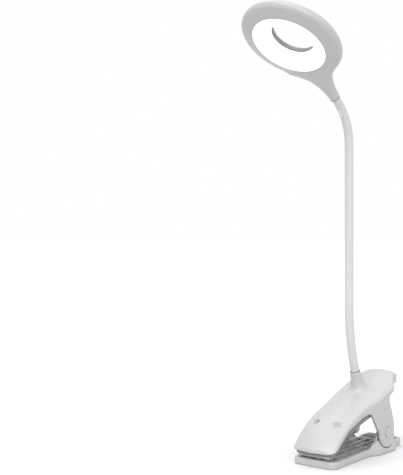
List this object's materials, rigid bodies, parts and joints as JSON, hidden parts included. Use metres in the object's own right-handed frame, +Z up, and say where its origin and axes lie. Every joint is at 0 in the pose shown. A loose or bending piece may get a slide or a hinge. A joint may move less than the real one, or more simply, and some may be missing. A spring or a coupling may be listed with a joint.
{
  "type": "clip-on reading lamp",
  "caption": "Clip-on reading lamp: spring clip with battery and touch keys, bendable gooseneck and a tilted ring light head.",
  "frame": {"origin": "on the underside of the clip base, at the middle of its length and width", "axes": "+Z up, -Y towards the nose of the clip, X across the clip along the hinge pin"},
  "size_m": [0.0883, 0.1843, 0.3915],
  "materials": {
    "white_abs": "satin",
    "silicone": "matte",
    "pad_silicone": "matte",
    "steel": "satin",
    "spring_steel": "satin",
    "cover_abs": "satin",
    "icon_print": "matte",
    "board_green": "satin",
    "gold_contact": "satin",
    "cell_wrap": "satin",
    "diffuser_pmma": "satin",
    "reflector_film": "satin",
    "led_phosphor": "gloss",
    "collar_nylon": "matte"
  },
  "bodies": {
    "base": {"base_frame": "white_abs", "grip_insert": "pad_silicone", "grip_tread": "collar_nylon", "lever_ribs": "pad_silicone", "hinge_pin": "steel", "spring_coil": "spring_steel"},
    "jaw": {"top_shell": "white_abs", "bottom_cover": "cover_abs", "nose_pad": "pad_silicone", "battery_cell": "cell_wrap", "main_board": "board_green", "touch_pads": "gold_contact", "usb_socket": "steel", "mode_icon": "icon_print", "brightness_icon": "icon_print", "cover_screws": "steel", "pin_cap_left": "white_abs", "pin_cap_right": "white_abs", "spring_arm": "spring_steel", "neck_collar": "collar_nylon", "collar_sleeve": "silicone", "collar_core": "steel"},
    "link_01": {"sleeve_01": "silicone", "core_01": "steel"},
    "link_02": {"sleeve_02": "silicone", "core_02": "steel"},
    "link_03": {"sleeve_03": "silicone", "core_03": "steel"},
    "link_04": {"sleeve_04": "silicone", "core_04": "steel"},
    "link_05": {"sleeve_05": "silicone", "core_05": "steel"},
    "link_06": {"sleeve_06": "silicone", "core_06": "steel"},
    "link_07": {"sleeve_07": "silicone", "core_07": "steel"},
    "link_08": {"sleeve_08": "silicone", "core_08": "steel"},
    "link_09": {"sleeve_09": "silicone", "core_09": "steel"},
    "link_10": {"sleeve_10": "silicone", "core_10": "steel"},
    "head": {"head_sleeve": "silicone", "head_core": "steel", "head_housing": "white_abs", "head_cover": "white_abs", "diffuser": "diffuser_pmma", "reflector": "reflector_film", "led_board": "board_green", "led_chips": "led_phosphor", "head_screws": "steel"}
  },
  "joints": [
    {"name": "jaw_hinge", "type": "hinge", "parent": "base", "child": "jaw", "pos_m": [0, 0.0245, 0.019], "axis": [-1, 0, 0], "range_deg": [0, 30], "stiffness_Nm_per_rad": 0.5, "springref_deg": -34.38},
    {"name": "neck_bend_01", "type": "hinge", "parent": "jaw", "child": "link_01", "pos_m": [0, 0.00598, 0.0787], "axis": [1, 0, 0], "range_deg": [-18, 18]},
    {"name": "neck_sway_02", "type": "hinge", "parent": "link_01", "child": "link_02", "pos_m": [0, 0.00006, 0.10232], "axis": [0, 0.9843, 0.1763], "range_deg": [-18, 18]},
    {"name": "neck_bend_03", "type": "hinge", "parent": "link_02", "child": "link_03", "pos_m": [0, -0.00259, 0.12653], "axis": [1, 0, 0], "range_deg": [-18, 18]},
    {"name": "neck_sway_04", "type": "hinge", "parent": "link_03", "child": "link_04", "pos_m": [0, -0.00273, 0.15089], "axis": [0, 1, 0], "range_deg": [-18, 18]},
    {"name": "neck_bend_05", "type": "hinge", "parent": "link_04", "child": "link_05", "pos_m": [0, -0.00273, 0.17526], "axis": [1, 0, 0], "range_deg": [-18, 18]},
    {"name": "neck_sway_06", "type": "hinge", "parent": "link_05", "child": "link_06", "pos_m": [0, -0.00273, 0.19963], "axis": [0, 1, 0], "range_deg": [-18, 18]},
    {"name": "neck_bend_07", "type": "hinge", "parent": "link_06", "child": "link_07", "pos_m": [0, -0.00273, 0.224], "axis": [1, 0, 0], "range_deg": [-18, 18]},
    {"name": "neck_sway_08", "type": "hinge", "parent": "link_07", "child": "link_08", "pos_m": [0, -0.00273, 0.24837], "axis": [0, 1, 0], "range_deg": [-18, 18]},
    {"name": "neck_bend_09", "type": "hinge", "parent": "link_08", "child": "link_09", "pos_m": [0, -0.00273, 0.27273], "axis": [0.9903, -0.1392, 0], "range_deg": [-18, 18]},
    {"name": "neck_sway_10", "type": "hinge", "parent": "link_09", "child": "link_10", "pos_m": [-0.00047, -0.00605, 0.29669], "axis": [0.1299, 0.924, 0.3596], "range_deg": [-8, 8]},
    {"name": "neck_bend_11", "type": "hinge", "parent": "link_10", "child": "head", "pos_m": [-0.00239, -0.01976, 0.31644], "axis": [0.9903, -0.1392, 0], "range_deg": [-11, 11]}
  ]
}
